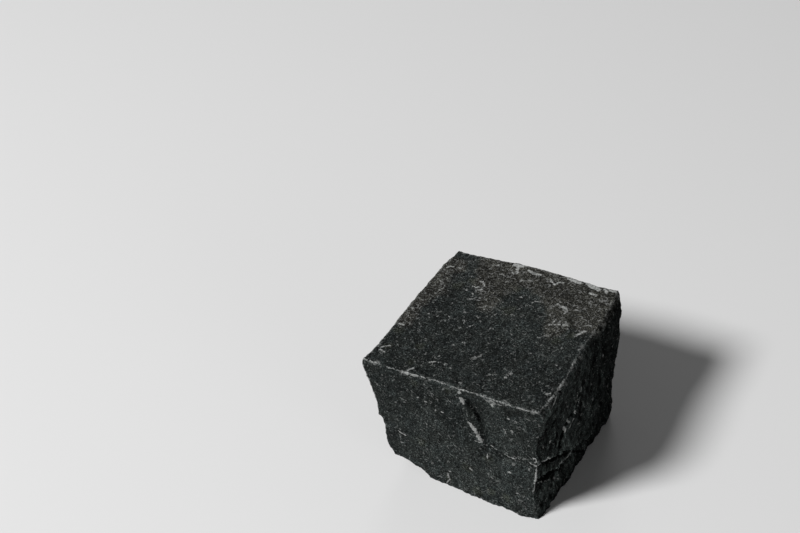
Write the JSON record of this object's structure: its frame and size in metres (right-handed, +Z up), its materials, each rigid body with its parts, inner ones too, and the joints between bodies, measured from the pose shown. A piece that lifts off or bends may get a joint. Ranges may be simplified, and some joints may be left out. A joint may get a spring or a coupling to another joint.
{
  "type": "basalt cobblestone",
  "caption": "Hand-split basalt paving cobble: flat squared top, rough cleft sides that draw in to a smaller flat base, crushed upper arrises, broken lower corner.",
  "frame": {"origin": "centre of the outline, on the base plane that the stone rests on", "axes": "+Z up through the dressed top face, -Y towards the front cleft face, +X to the right seen from the front"},
  "size_m": [0.1544, 0.1614, 0.119],
  "materials": {
    "basalt": "rough split face, fine grained charcoal grey, paler where edges are crushed"
  },
  "bodies": {
    "root": {"cobblestone": "basalt"}
  },
  "joints": []
}
